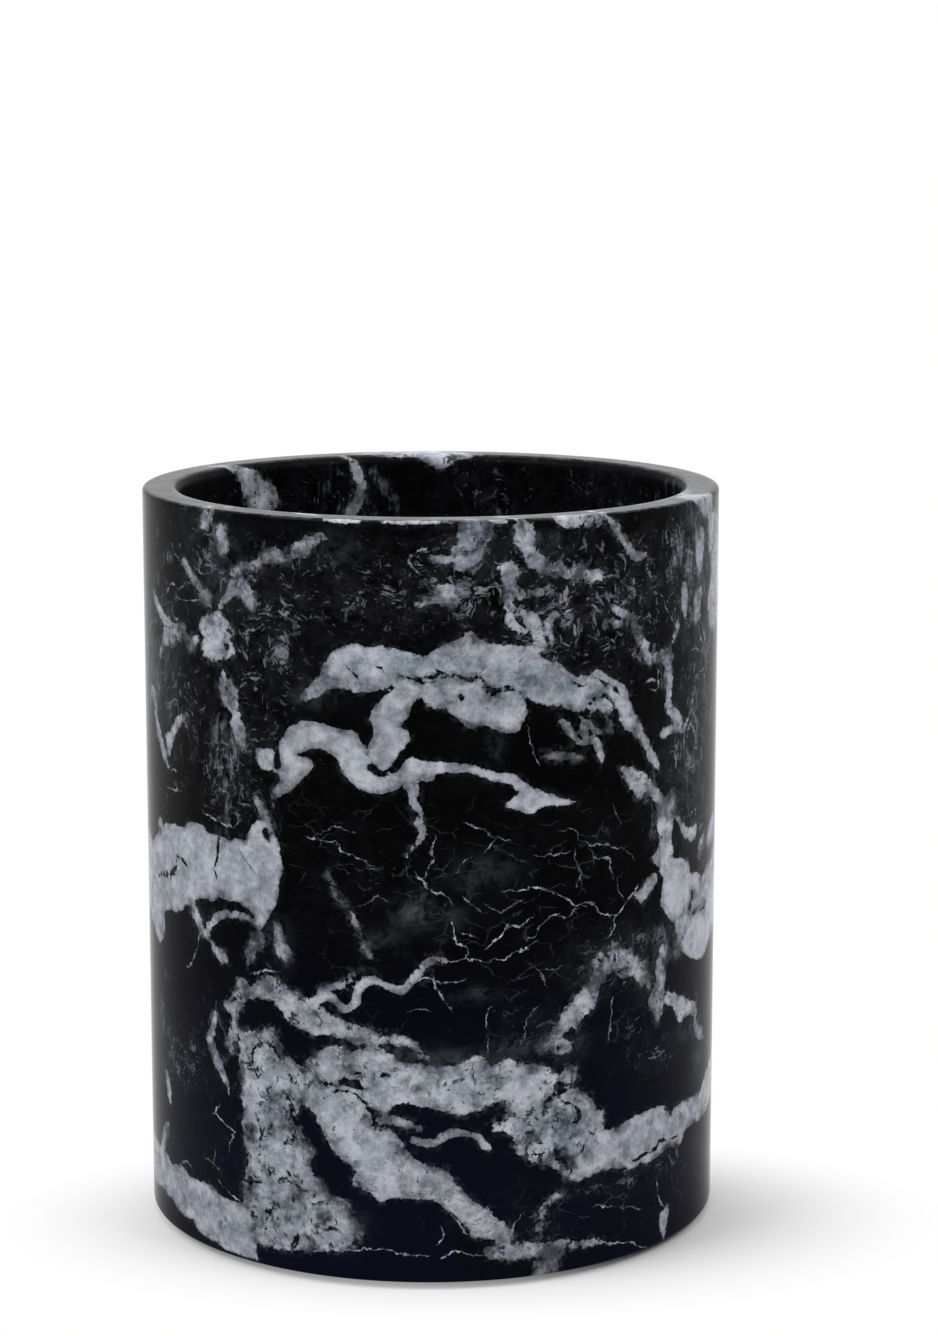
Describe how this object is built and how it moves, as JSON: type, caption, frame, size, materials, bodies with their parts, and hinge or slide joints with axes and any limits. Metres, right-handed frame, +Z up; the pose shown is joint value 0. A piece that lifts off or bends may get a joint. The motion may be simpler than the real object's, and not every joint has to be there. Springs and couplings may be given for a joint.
{
  "type": "pen stand",
  "caption": "Round stone cup with a deep blind bore that holds pens upright on a desk, polished black with white veins, on stick-on rubber feet.",
  "frame": {"origin": "centre of the circle of feet, on the surface that the stand rests on", "axes": "+Z up along the cup's axis, out of its mouth; -Y is the side that the picture shows"},
  "size_m": [0.08, 0.08, 0.103],
  "materials": {
    "stone": "polished black marble with white and grey calcite veins",
    "foot_rubber": "matt black moulded rubber",
    "adhesive": "milky double-sided adhesive film"
  },
  "bodies": {
    "root": {"stone_cup": "stone", "rubber_foot_front_left": "foot_rubber", "rubber_foot_front_right": "foot_rubber", "rubber_foot_back_right": "foot_rubber", "rubber_foot_back_left": "foot_rubber", "adhesive_disc_front_left": "adhesive", "adhesive_disc_front_right": "adhesive", "adhesive_disc_back_right": "adhesive", "adhesive_disc_back_left": "adhesive"}
  },
  "joints": []
}
